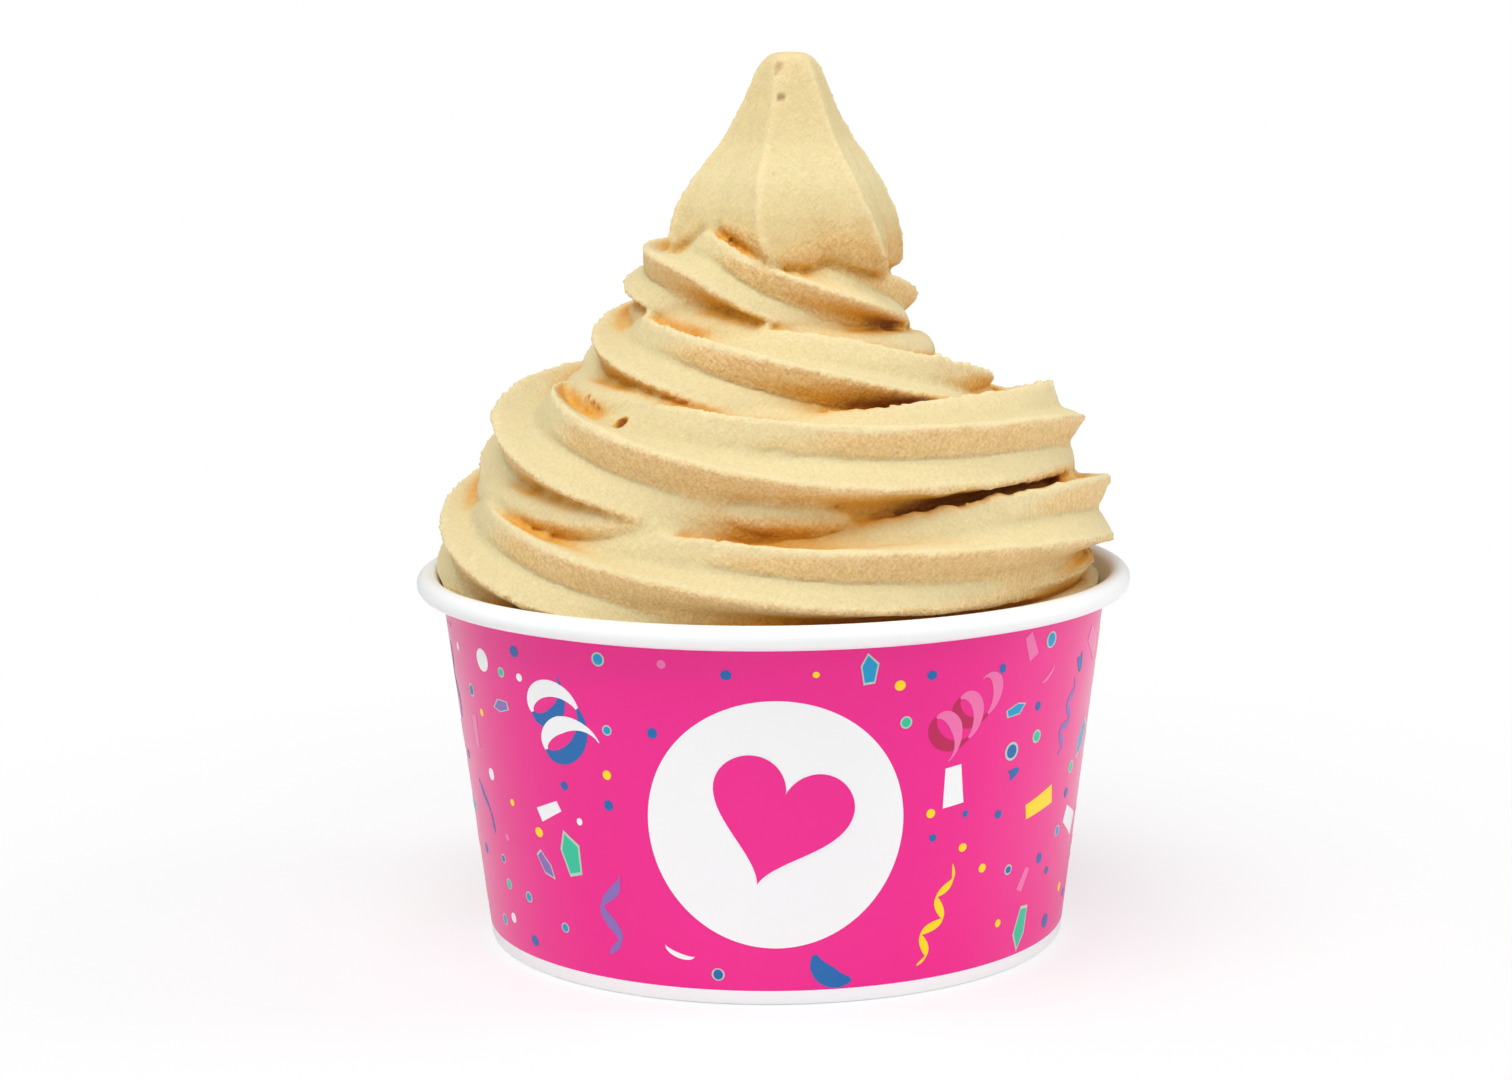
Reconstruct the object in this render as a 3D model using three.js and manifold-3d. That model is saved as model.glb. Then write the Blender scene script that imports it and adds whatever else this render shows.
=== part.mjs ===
// Frozen yogurt cup: a tapered paper cup with a rolled rim and a recessed bottom,
// filled with one soft-served swirl that ends in a fluted peak.
// Sizes are millimetres, +Z is up, the front of the cup faces -Y.
// The origin is the middle of the face the cup stands on.
import * as THREE from "three";
import Module from "manifold-3d";

const wasm = await Module();
wasm.setup();

// ---- Cup -------------------------------------------------------------------

const CUP_HEIGHT = 58.0;
const RIM_RADIUS = 56.0;
const RIM_BEAD = 3.5;
const BASE_RADIUS = 45.4;
const WALL_TAPER = 0.121;
const WALL_THICKNESS = 0.8;
const FOOT_HEIGHT = 6.0;
const FOOT_THICKNESS = 1.4;
const BOTTOM_THICKNESS = 0.8;
const BOTTOM_RECESS = 4.0;
const CUP_SEGMENTS = 64;
const PART_GAP = 0.3;

// ---- Yogurt ----------------------------------------------------------------

const FLUTES = 6;
const FLUTE_DEPTH = 0.33;
const FLUTE_BOW = 0.5;
const POINTS_PER_FLUTE = 6;
const STEPS_PER_TURN = 28;
const FIRST_TURN = -0.75;
const LAST_TURN = 3.75;
const TUCK_FROM = 3.25;
const TUCK_SHARE = 0.5;
const RIM_CLEARANCE = 0.4;
const PLUG_TOP = 56.5;

// Where the rope crosses the right, the front and the left of the cup, turn 0 being the
// first crossing of the front. radius: from the cup's axis to the rope's middle, height:
// of that middle, thick: the rope's crest radius, stretch: its height over its width,
// twist: turn of the star section on top of the steady twist.
const TURNS = [
  { turn: -0.75, radius: 48.5, height: 50.0, thick: 6.6, stretch: 0.9, twist: 0.4 },
  { turn: -0.25, radius: 44.6, height: 66.4, thick: 9.5, stretch: 1.0, twist: 0.26 },
  { turn: 0, radius: 44.9, height: 61.5, thick: 8.0, stretch: 1.08, twist: 0.4 },
  { turn: 0.25, radius: 44.5, height: 61.7, thick: 9.0, stretch: 1.2, twist: 1.0 },
  { turn: 0.75, radius: 41.8, height: 78.3, thick: 7.3, stretch: 1.15, twist: 1.06 },
  { turn: 1, radius: 37.9, height: 76.7, thick: 10.1, stretch: 0.98, twist: 0.6 },
  { turn: 1.25, radius: 34.2, height: 76.3, thick: 11.7, stretch: 1.03, twist: 1.2 },
  { turn: 1.75, radius: 25.6, height: 82.3, thick: 11.4, stretch: 0.74, twist: 1.5 },
  { turn: 2, radius: 24.4, height: 87.4, thick: 11.3, stretch: 0.86, twist: 1.2 },
  { turn: 2.25, radius: 20.4, height: 90.9, thick: 9.4, stretch: 0.86, twist: 1.17 },
  { turn: 2.75, radius: 16.2, height: 98.6, thick: 6.9, stretch: 0.93, twist: 1.14 },
  { turn: 3, radius: 14.6, height: 101.1, thick: 8.0, stretch: 1.0, twist: 1.14 },
  { turn: 3.1, radius: 14.2, height: 102.8, thick: 8.3, stretch: 1.05, twist: 1.3 },
  { turn: 3.25, radius: 15.4, height: 102.3, thick: 7.5, stretch: 1.0, twist: 1.36 },
  { turn: 3.75, radius: 13.4, height: 110.0, thick: 7.4, stretch: 0.95, twist: 1.3 },
];
const TWIST_PER_TURN = (5 / 6) * 2 * Math.PI;

// The creases between coils are filled up to a share of the rope's thickness. At each
// turn the filling stands out by a share of that thickness too.
const CREASE_THICK = 0.42;
const CREASE_FILLS = [
  [-0.75, 0.1],
  [-0.25, 0.05],
  [-0.16, -0.25],
  [-0.04, -0.22],
  [0.01, 0],
  [0.05, 0.18],
  [0.25, 0.3],
  [0.75, 0.1],
  [0.9, -0.15],
  [1, 0.05],
  [1.1, 0.15],
  [1.75, 0.1],
  [1.9, -0.1],
  [2.1, -0.05],
  [2.25, 0.1],
  [2.75, 0.1],
];
const CREASE_POINTS = 9;
const CREASE_STEPS = 18;

const PEAK_TIP = 137.6;
const PEAK_FOOT = 103.0;
const PEAK_SHIFT = 2.0;
const PEAK_FORWARD = 2.0;
const PEAK_FLUTE_DEPTH = 0.12;
const PEAK_FOOT_FLARE = 0.12;
const PEAK_FLARE_SHARE = 0.45;
const PEAK_ARCH = 5.0;
const PEAK_ARCH_AT = -2.27;
const PEAK_ARCH_WIDTH = 0.48;
const PEAK_TWIST = 0.27;
const PEAK_RIDGE = -1.62;
const PEAK_SLANT = 0.09;
const PEAK_RINGS = 20;

// ---- Colours ---------------------------------------------------------------

const PINK = 0xe3308c;
const WHITE = 0xf2f2f0;
const YOGURT = 0xe6c58e;

function material(colour, roughness) {
  return new THREE.MeshStandardMaterial({ color: colour, roughness: roughness, metalness: 0 });
}

function mesh(name, geometry, surface) {
  const made = new THREE.Mesh(geometry, surface);
  made.name = name;
  return made;
}

// ---- Solids ----------------------------------------------------------------

function solidOf(geometry) {
  const position = geometry.attributes.position;
  const index = geometry.index;
  const seen = new Map();
  const vertices = [];
  const remap = [];
  for (let i = 0; i < position.count; i += 1) {
    const x = position.getX(i);
    const y = position.getY(i);
    const z = position.getZ(i);
    const key = `${Math.round(x * 1e4)},${Math.round(y * 1e4)},${Math.round(z * 1e4)}`;
    if (!seen.has(key)) {
      seen.set(key, vertices.length / 3);
      vertices.push(x, y, z);
    }
    remap.push(seen.get(key));
  }
  const triangles = [];
  for (let i = 0; i < index.count; i += 3) {
    const a = remap[index.getX(i)];
    const b = remap[index.getX(i + 1)];
    const c = remap[index.getX(i + 2)];
    if (a !== b && b !== c && c !== a) {
      triangles.push(a, b, c);
    }
  }
  const data = new wasm.Mesh({
    numProp: 3,
    vertProperties: new Float32Array(vertices),
    triVerts: new Uint32Array(triangles),
  });
  return new wasm.Manifold(data);
}

function geometryOf(solid) {
  const data = solid.getMesh();
  const geometry = new THREE.BufferGeometry();
  const places = new Float32Array(data.numVert * 3);
  for (let i = 0; i < data.numVert; i += 1) {
    for (let k = 0; k < 3; k += 1) {
      places[3 * i + k] = data.vertProperties[data.numProp * i + k];
    }
  }
  geometry.setAttribute("position", new THREE.BufferAttribute(places, 3));
  geometry.setIndex(new THREE.BufferAttribute(new Uint32Array(data.triVerts), 1));
  geometry.computeVertexNormals();
  return geometry;
}

// Turns a closed profile of [radius, height] pairs about the upright axis.
function lathe(profile, segments) {
  const points = profile.map(([radius, height]) => new THREE.Vector2(radius, height));
  const geometry = new THREE.LatheGeometry(points, segments);
  geometry.rotateX(Math.PI / 2);
  return geometry;
}

// Skins a closed solid over a row of closed rings that have equal counts of points.
function loft(rings) {
  const count = rings[0].length;
  const places = [];
  const triangles = [];
  for (const ring of rings) {
    for (const point of ring) {
      places.push(point.x, point.y, point.z);
    }
  }
  for (let i = 0; i + 1 < rings.length; i += 1) {
    for (let j = 0; j < count; j += 1) {
      const k = (j + 1) % count;
      const a = i * count + j;
      const b = i * count + k;
      triangles.push(a, b, a + count);
      triangles.push(b, b + count, a + count);
    }
  }
  for (const [ring, outward] of [[0, false], [rings.length - 1, true]]) {
    const centre = new THREE.Vector3();
    for (const point of rings[ring]) {
      centre.addScaledVector(point, 1 / count);
    }
    const middle = places.length / 3;
    places.push(centre.x, centre.y, centre.z);
    for (let j = 0; j < count; j += 1) {
      const a = ring * count + j;
      const b = ring * count + ((j + 1) % count);
      if (outward) {
        triangles.push(middle, a, b);
      } else {
        triangles.push(middle, b, a);
      }
    }
  }
  const geometry = new THREE.BufferGeometry();
  geometry.setAttribute("position", new THREE.Float32BufferAttribute(places, 3));
  geometry.setIndex(triangles);
  return geometry;
}

// ---- Cup profile -----------------------------------------------------------

function wallRadius(height) {
  return BASE_RADIUS + WALL_TAPER * height;
}

function beadArc(radius, from, to, steps) {
  const points = [];
  const middle = RIM_RADIUS - RIM_BEAD / 2;
  const height = CUP_HEIGHT - RIM_BEAD / 2;
  for (let i = 0; i <= steps; i += 1) {
    const angle = from + ((to - from) * i) / steps;
    points.push([middle + radius * Math.cos(angle), height + radius * Math.sin(angle)]);
  }
  return points;
}

function cupWall() {
  const footTop = FOOT_HEIGHT + BOTTOM_RECESS - 2;
  const under = CUP_HEIGHT - RIM_BEAD;
  const profile = [
    [wallRadius(0) - 0.3, 0],
    [wallRadius(0.5), 0.5],
    [wallRadius(under + 0.4), under + 0.4],
    ...beadArc(RIM_BEAD / 2, -Math.PI * 0.62, Math.PI * 0.84, 8),
    [wallRadius(under) - WALL_THICKNESS, under - 0.6],
    [wallRadius(footTop) - WALL_THICKNESS, footTop],
    [wallRadius(footTop) - FOOT_THICKNESS, footTop - 0.5],
    [wallRadius(0) - FOOT_THICKNESS, 0],
  ];
  profile.push(profile[0]);
  return lathe(profile, CUP_SEGMENTS);
}

function cupBottom() {
  const low = BOTTOM_RECESS;
  const high = BOTTOM_RECESS + BOTTOM_THICKNESS;
  const radius = wallRadius(low) - FOOT_THICKNESS - PART_GAP - 0.05;
  return lathe([[0, low], [radius, low], [radius, high], [0, high]], CUP_SEGMENTS);
}

// ---- Swirl -----------------------------------------------------------------

// Value at a place of a row of [place, value] stops, straight between them.
function valueAt(stops, place) {
  let i = 0;
  while (i + 2 < stops.length && place > stops[i + 1][0]) {
    i += 1;
  }
  const [p0, v0] = stops[i];
  const [p1, v1] = stops[i + 1];
  return v0 + ((v1 - v0) * (place - p0)) / (p1 - p0);
}

// Smooth value of one column of TURNS at any turn.
function column(name, turn) {
  const last = TURNS.length - 1;
  const place = Math.min(Math.max(turn, TURNS[0].turn), TURNS[last].turn);
  let i = 0;
  while (i + 1 < last && place > TURNS[i + 1].turn) {
    i += 1;
  }
  const slope = (k) => {
    const low = TURNS[Math.max(k - 1, 0)];
    const high = TURNS[Math.min(k + 1, last)];
    return (high[name] - low[name]) / (high.turn - low.turn);
  };
  const span = TURNS[i + 1].turn - TURNS[i].turn;
  const t = (place - TURNS[i].turn) / span;
  const a = 2 * t ** 3 - 3 * t ** 2 + 1;
  const b = t ** 3 - 2 * t ** 2 + t;
  const c = -2 * t ** 3 + 3 * t ** 2;
  const d = t ** 3 - t ** 2;
  return a * TURNS[i][name] + b * span * slope(i) + c * TURNS[i + 1][name] + d * span * slope(i + 1);
}

// Share of the crest radius that a fluted section has at an angle from a crest.
function flute(angle, depth) {
  const spacing = (2 * Math.PI) / FLUTES;
  const away = Math.abs(angle / spacing - Math.round(angle / spacing)) * 2;
  return 1 - depth * away * (1 + FLUTE_BOW * (1 - away));
}

function tuckedShare(turn) {
  const tuck = Math.max(0, (turn - TUCK_FROM) / (LAST_TURN - TUCK_FROM));
  return 1 - TUCK_SHARE * tuck * (2 - tuck);
}

function ropeRing(turn, scale) {
  const around = -Math.PI / 2 - 2 * Math.PI * turn;
  const radius = column("radius", turn) * tuckedShare(turn);
  const thick = column("thick", turn) * tuckedShare(turn);
  const height = column("height", turn);
  const stretch = column("stretch", turn);
  const twist = TWIST_PER_TURN * turn + column("twist", turn) - Math.PI / 6;
  const points = [];
  const count = FLUTES * POINTS_PER_FLUTE;
  for (let i = 0; i < count; i += 1) {
    const local = (2 * Math.PI * i) / count;
    const reach = scale * thick * flute(local, FLUTE_DEPTH);
    const out = radius + reach * Math.cos(local + twist);
    const up = stretch * reach * Math.sin(local + twist);
    points.push(new THREE.Vector3(out * Math.cos(around), out * Math.sin(around), height + up));
  }
  return points;
}

// The round filling of the crease between one coil and the next one up.
function creaseRing(turn, scale) {
  const around = -Math.PI / 2 - 2 * Math.PI * turn;
  const below = column("radius", turn);
  const above = column("radius", turn + 1) * tuckedShare(turn + 1);
  const thick = (column("thick", turn) + column("thick", turn + 1) * tuckedShare(turn + 1)) / 2;
  const low = column("height", turn);
  const high = column("height", turn + 1);
  const out = (valueAt(CREASE_FILLS, turn) * thick) / Math.hypot(high - low, below - above);
  const radius = (below + above) / 2 + out * (high - low);
  const height = (low + high) / 2 + out * (below - above);
  const points = [];
  for (let i = 0; i < CREASE_POINTS; i += 1) {
    const angle = (2 * Math.PI * i) / CREASE_POINTS;
    const far = radius + scale * CREASE_THICK * thick * Math.cos(angle);
    const up = scale * CREASE_THICK * thick * Math.sin(angle);
    points.push(new THREE.Vector3(far * Math.cos(around), far * Math.sin(around), height + up));
  }
  return points;
}

// A coiled solid in short lengths, each with a plug that reaches into the next one.
function coil(ring, from, to, perTurn) {
  const steps = Math.round((to - from) * perTurn);
  const span = Math.round(perTurn / 3);
  const pieces = [];
  for (let start = 0; start < steps; start += span) {
    const end = Math.min(start + span, steps);
    const rings = [];
    for (let i = start; i <= end; i += 1) {
      rings.push(ring(from + i / perTurn, 1));
    }
    if (end < steps) {
      rings.push(ring(from + (end + 0.5) / perTurn, 0.6));
    }
    pieces.push(solidOf(loft(rings)));
  }
  return pieces;
}

// What fills the cup up to the rim, and the heart of the swirl.
function core() {
  const inner = (height) => wallRadius(height) - WALL_THICKNESS - PART_GAP - 0.15;
  const low = BOTTOM_RECESS + BOTTOM_THICKNESS + PART_GAP;
  const footTop = FOOT_HEIGHT + BOTTOM_RECESS - 2;
  const profile = [
    [0, low],
    [wallRadius(low) - FOOT_THICKNESS - PART_GAP - 0.15, low],
    [wallRadius(footTop) - FOOT_THICKNESS - PART_GAP - 0.15, footTop + 0.1],
    [inner(footTop + 1.5), footTop + 1.5],
    [inner(PLUG_TOP), PLUG_TOP],
    [50.2, 59.5],
    [44, 66],
    [38, 74],
    [22, 86],
    [15, 99],
    [13, 106],
    [0, 112],
  ];
  return solidOf(lathe(profile, 48));
}

// Crest radius of the peak at a share of its height, 0 at the foot and 1 at the tip.
function peakRadius(share) {
  const stops = [
    [0.0, 10.0],
    [0.05, 17.4],
    [0.095, 19.6],
    [0.145, 19.6],
    [0.21, 19.0],
    [0.31, 17.8],
    [0.44, 15.1],
    [0.615, 10.7],
    [0.79, 7.2],
    [0.92, 5.2],
    [0.965, 4.3],
    [1.0, 1.4],
  ];
  return valueAt(stops, share);
}

function peak() {
  const rings = [];
  const count = FLUTES * POINTS_PER_FLUTE;
  for (let i = 0; i <= PEAK_RINGS; i += 1) {
    const share = 0.5 - 0.5 * Math.cos((Math.PI * i) / PEAK_RINGS);
    const radius = peakRadius(share);
    const height = PEAK_FOOT + (PEAK_TIP - PEAK_FOOT) * share;
    const twist = PEAK_RIDGE - PEAK_TWIST * (1 - (1 - share) ** 4);
    const slant = PEAK_SLANT * Math.max(0, 1 - 1.6 * share);
    const flare = Math.max(0, 1 - share / PEAK_FLARE_SHARE) ** 2;
    const depth = PEAK_FLUTE_DEPTH + PEAK_FOOT_FLARE * flare;
    const arch = PEAK_ARCH * flare;
    const points = [];
    for (let j = 0; j < count; j += 1) {
      const local = (2 * Math.PI * j) / count;
      const reach = radius * flute(local, depth);
      const x = reach * Math.cos(local + twist);
      const y = reach * Math.sin(local + twist);
      const away = local + twist - PEAK_ARCH_AT;
      const off = Math.abs(Math.atan2(Math.sin(away), Math.cos(away))) / PEAK_ARCH_WIDTH;
      const up = arch * Math.max(0, 1 - off * off) - slant * x;
      points.push(new THREE.Vector3(PEAK_SHIFT + x, y - PEAK_FORWARD, height + up));
    }
    rings.push(points);
  }
  return solidOf(loft(rings));
}

// The space the cup takes, with the clearance kept round it.
function cupSpace() {
  const gap = RIM_CLEARANCE;
  const high = CUP_HEIGHT - RIM_BEAD / 2;
  const profile = [
    [wallRadius(0) - WALL_THICKNESS - gap, 0],
    [wallRadius(high) - WALL_THICKNESS - gap, high],
    ...beadArc(RIM_BEAD / 2 + gap, Math.PI * 0.95, Math.PI * 0.05, 8),
    [RIM_RADIUS + gap + 4, high],
    [RIM_RADIUS + gap + 4, 0],
  ];
  profile.push(profile[0]);
  return solidOf(lathe(profile.reverse(), CUP_SEGMENTS));
}

function frozenYogurt() {
  let solid = core();
  for (const piece of coil(creaseRing, FIRST_TURN, LAST_TURN - 1, CREASE_STEPS)) {
    solid = solid.add(piece);
  }
  for (const piece of coil(ropeRing, FIRST_TURN, LAST_TURN, STEPS_PER_TURN)) {
    solid = solid.add(piece);
  }
  solid = solid.add(peak());
  solid = solid.subtract(cupSpace());
  const bodies = solid.decompose().filter((body) => body.volume() > 0);
  bodies.sort((a, b) => b.volume() - a.volume());
  return geometryOf(bodies[0]);
}

// ---- The part --------------------------------------------------------------

const cup = new THREE.Group();
cup.name = "frozen_yogurt_cup";
cup.add(mesh("cup_wall", cupWall(), material(PINK, 0.4)));
cup.add(mesh("cup_bottom", cupBottom(), material(WHITE, 0.6)));
cup.add(mesh("frozen_yogurt", frozenYogurt(), material(YOGURT, 0.6)));

export default cup;
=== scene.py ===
import math
import random

import bpy
import numpy as np
from bpy.props import FloatProperty, FloatVectorProperty, IntProperty, PointerProperty
from bpy.types import Operator, Panel, PropertyGroup
from mathutils import Matrix, Vector, noise
from mathutils.bvhtree import BVHTree


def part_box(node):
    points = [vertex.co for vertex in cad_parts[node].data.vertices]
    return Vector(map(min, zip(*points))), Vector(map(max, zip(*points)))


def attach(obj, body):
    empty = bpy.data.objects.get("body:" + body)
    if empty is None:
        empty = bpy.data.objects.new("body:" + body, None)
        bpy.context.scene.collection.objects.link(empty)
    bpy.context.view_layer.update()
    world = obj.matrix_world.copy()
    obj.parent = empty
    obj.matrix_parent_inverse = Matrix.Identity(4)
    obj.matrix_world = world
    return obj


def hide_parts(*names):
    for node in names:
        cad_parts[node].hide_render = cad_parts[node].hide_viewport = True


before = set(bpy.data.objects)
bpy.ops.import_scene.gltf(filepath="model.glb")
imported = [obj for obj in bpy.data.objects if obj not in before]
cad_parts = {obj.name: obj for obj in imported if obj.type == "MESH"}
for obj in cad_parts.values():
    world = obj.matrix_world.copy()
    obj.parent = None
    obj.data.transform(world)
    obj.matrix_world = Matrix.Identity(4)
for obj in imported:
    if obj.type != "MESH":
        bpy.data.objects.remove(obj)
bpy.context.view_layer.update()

bl_info = {
    "name": "Frozen Yogurt Cup",
    "version": (1, 0, 0),
    "blender": (4, 5, 0),
    "location": "3D View > Sidebar > Yogurt Cup",
    "description": "A printed paper cup heaped with a fluted swirl of frozen yogurt",
    "category": "Object",
}

MM = 0.001
DOUBLE = 1e-6
TINY = 1e-9
GOLDEN_ANGLE = math.pi * (3 - math.sqrt(5))
CUP_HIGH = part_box("cup_wall")[1]
RIM_RADIUS = CUP_HIGH.x / MM
CUP_HEIGHT = CUP_HIGH.z / MM
PEAK_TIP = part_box("frozen_yogurt")[1].z / MM

# ---- Cup sizes, in millimetres ----

RIM_BEAD = 3.5
BASE_RADIUS = 45.4
WALL_TAPER = 0.121
WALL_THICKNESS = 0.8
FOOT_TOP = 8.0
FOOT_THICKNESS = 1.4
BEAD_UNDER = CUP_HEIGHT - RIM_BEAD
BEAD_MIDDLE = CUP_HEIGHT - RIM_BEAD / 2
WALL_SIDES = 256
SEAM_THICKNESS = 0.3
OUTSIDE_SLACK = 0.2
BOARD_RELIEF = 0.2 * MM
FRONT = -math.pi / 2

# ---- Swirl sizes, in millimetres ----

FLUTES = 6
FLUTE_DEPTH = 0.33
FLUTE_BOW = 0.5
FIRST_TURN = -0.75
LAST_TURN = 3.75
TUCK_FROM = 3.25
TUCK_SHARE = 0.5
TWIST_PER_TURN = (5 / 6) * 2 * math.pi
RIM_CLEARANCE = 0.4
FILLING_GAP = 0.45
PLUG_TOP = 56.5

TURN_COLUMNS = ("turn", "radius", "height", "thick", "stretch", "twist")
TURNS = (
    (-0.75, 48.5, 50.0, 6.6, 0.90, 0.40),
    (-0.25, 44.6, 66.4, 9.5, 1.00, 0.26),
    (0.0, 44.9, 61.5, 8.0, 1.08, 0.40),
    (0.25, 44.5, 61.7, 9.0, 1.20, 1.00),
    (0.75, 41.8, 78.3, 7.3, 1.15, 1.06),
    (1.0, 37.9, 76.7, 10.1, 0.98, 0.60),
    (1.25, 34.2, 76.3, 11.7, 1.03, 1.20),
    (1.75, 25.6, 82.3, 11.4, 0.74, 1.50),
    (2.0, 24.4, 87.4, 11.3, 0.86, 1.20),
    (2.25, 20.4, 90.9, 9.4, 0.86, 1.17),
    (2.75, 16.2, 98.6, 6.9, 0.93, 1.14),
    (3.0, 14.6, 101.1, 8.0, 1.00, 1.14),
    (3.1, 14.2, 102.8, 8.3, 1.05, 1.30),
    (3.25, 15.4, 102.3, 7.5, 1.00, 1.36),
    (3.75, 13.4, 110.0, 7.4, 0.95, 1.30),
)
CREASE_FILLS = (
    (-0.75, 0.1), (-0.25, 0.05), (-0.16, -0.25), (-0.01, -0.22), (0.03, 0.0), (0.06, 0.18), (0.25, 0.3), (0.75, 0.1),
    (0.9, -0.15), (1.0, 0.05), (1.1, 0.15), (1.75, 0.1), (1.9, -0.1), (2.1, -0.05), (2.25, 0.1), (2.75, 0.1),
)
CREASE_THICK = 0.42

PEAK_FOOT = 103.0
PEAK_SHIFT = 2.5
PEAK_TIP_SHIFT = 0.6
PEAK_FORWARD = 2.0
PEAK_FLUTE_DEPTH = 0.12
PEAK_FOOT_FLARE = 0.12
PEAK_FLARE_SHARE = 0.45
PEAK_ARCH = 4.3
PEAK_ARCH_AT = -2.27
PEAK_ARCH_WIDTH = 0.48
PEAK_TWIST = 0.27
PEAK_RIDGE = -1.62
PEAK_SLANT = 0.09
PEAK_SLANT_FADE = 1.6
PEAK_SEAM = 0.026
PEAK_SEAM_WIDTH = 0.13
PEAK_TIP_ROUND = 0.07
PEAK_TIP_FLUTED = 0.2
PEAK_OUTLINE = (
    (0.0, 10.0), (0.05, 16.8), (0.095, 18.8), (0.145, 18.9), (0.21, 18.4), (0.31, 17.2), (0.44, 14.7), (0.615, 10.1),
    (0.79, 6.95), (0.92, 5.0), (0.962, 3.95), (0.985, 3.05), (0.994, 2.3), (1.0, 1.2),
)

# ---- Camera ----

FRAME_WIDTH = 1512
FRAME_HEIGHT = 1080
FOCAL = 3090.0
SENSOR = 36.0
CAMERA_DISTANCE = 486.8
CAMERA_TILT = 0.1563
CAMERA_ROLL = -0.0088
CAMERA_AIM = 61.65
MIDDLE_COLUMN = 773.2
CAMERA_TURN = Matrix.Rotation(math.pi / 2 - CAMERA_TILT, 4, "X") @ Matrix.Rotation(CAMERA_ROLL, 4, "Z")
CAMERA_PLACE = Vector((0, 0, CAMERA_AIM * MM)) + CAMERA_TURN @ Vector((0, 0, CAMERA_DISTANCE * MM))


# ---- Settings ----


def colour_setting(name, description, default):
    return FloatVectorProperty(
        name=name, description=description, default=default, subtype="COLOR", size=3, min=0.0, max=1.0
    )


def length_setting(name, description, default):
    return FloatProperty(
        name=name, description=description, default=default * MM, min=0.0, subtype="DISTANCE", unit="LENGTH"
    )


def power_setting(name, lamp, default):
    return FloatProperty(name=name, description=f"Power of {lamp}", default=default, min=0.0, unit="POWER")


class YogurtCupPaper(PropertyGroup):
    pink: colour_setting("Field", "Colour printed on the wall", (0.86, 0.0, 0.265))
    white: colour_setting("Board", "Colour of the bare coated board", (0.91, 0.93, 0.94))
    print_low: length_setting("Foot Band", "Height of the bare band at the foot", 2.2)
    print_high: length_setting("Print Top", "Height at which the print ends under the rim", 53.9)
    seam_width: length_setting("Seam Width", "Width of the glued overlap at the back", 7.0)


class YogurtCupPrint(PropertyGroup):
    seed: IntProperty(name="Seed", description="Draws another layout of the confetti", default=11, min=0)
    count: IntProperty(name="Bits", description="Pieces of confetti round the cup", default=175, min=0)
    disc_radius: length_setting("Disc Radius", "Radius of the round white field", 18.95)
    disc_height: length_setting("Disc Height", "Height of the middle of the round field", 27.7)
    heart_width: length_setting("Heart Width", "Width of the heart in the round field", 21.0)


INKS = {
    "yellow": (1.0, 0.72, 0.004),
    "blue": (0.004, 0.135, 0.43),
    "cyan": (0.002, 0.32, 0.62),
    "green": (0.025, 0.55, 0.33),
    "violet": (0.24, 0.15, 0.50),
    "crimson": (0.50, 0.006, 0.09),
    "blush": (0.86, 0.17, 0.43),
    "mint": (0.45, 0.66, 0.52),
}
for ink, value in INKS.items():
    YogurtCupPrint.__annotations__[ink] = colour_setting(ink.title(), "Ink of the confetti", value)


class YogurtCupSwirl(PropertyGroup):
    cream: colour_setting("Cream", "Colour of the open faces", (0.76, 0.645, 0.36))
    # Tan is painted shade: a warmer, darker colour on the faces that look down.
    tan: colour_setting("Tan", "Colour of the faces that look down", (0.88, 0.63, 0.295))
    # Caramel and crevice are painted shade: a warm darkening where the surface is closed in, deeper between the
    # coils.
    caramel_shade: colour_setting("Caramel", "Colour of sheltered faces", (0.77, 0.385, 0.05))
    crevice_shade: colour_setting("Crevice", "Colour deep between the coils", (0.44, 0.155, 0.018))
    voxel: length_setting("Mesh Step", "Distance between the points of the swirl", 0.6)
    unevenness: length_setting("Unevenness", "Depth of the soft unevenness", 0.28)
    raggedness: length_setting("Raggedness", "Depth of the ragged edges of the ridges", 0.42)
    keenness: FloatProperty(name="Keenness", description="How keen the ridges are", default=1.2, min=0.0)


class YogurtCupStage(PropertyGroup):
    floor: colour_setting("Floor", "Colour of the floor", (0.93, 0.93, 0.94))
    key: power_setting("Key Light", "the light from above", 5.6)
    fill: power_setting("Fill Light", "the light from the front", 3.2)
    left: power_setting("Left Light", "the light from the left", 0.6)
    right: power_setting("Right Light", "the light from the right", 2.88)


# ---- Editing helpers ----


def only(*objs):
    """Selects these objects alone, the first of them active."""
    if bpy.context.object and bpy.context.object.mode != "OBJECT":
        bpy.ops.object.mode_set(mode="OBJECT")
    bpy.ops.object.select_all(action="DESELECT")
    for obj in objs:
        obj.select_set(True)
    bpy.context.view_layer.objects.active = objs[0]


def settle(obj, name):
    """Names a new object and puts its place into its mesh."""
    obj.name = name
    obj.data.name = name
    only(obj)
    bpy.ops.object.transform_apply(location=True, rotation=True, scale=True)
    return obj


def primitive(name, add, **values):
    bpy.ops.object.select_all(action="DESELECT")
    add(**values)
    return settle(bpy.context.object, name)


def edit(obj, select="SELECT"):
    """Opens edit mode; without a choice the selection stays as it is."""
    only(obj)
    bpy.ops.object.mode_set(mode="EDIT")
    if select:
        bpy.ops.mesh.select_all(action=select)


def clamp(values):
    return np.clip(values, 0, 1)


def values_of(items, name, width, kind=float):
    """One row of values for every point or edge of a mesh."""
    flat = np.empty(len(items) * width, dtype=kind)
    items.foreach_get(name, flat)
    return flat.reshape(-1, width)


def points_of(obj):
    return values_of(obj.data.vertices, "co", 3)


def normals_of(obj):
    return values_of(obj.data.vertices, "normal", 3)


def edges_of(obj):
    return values_of(obj.data.edges, "vertices", 2, np.int64)


def set_points(obj, points):
    obj.data.vertices.foreach_set("co", np.asarray(points, dtype=np.float32).ravel())
    obj.data.update()


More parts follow.
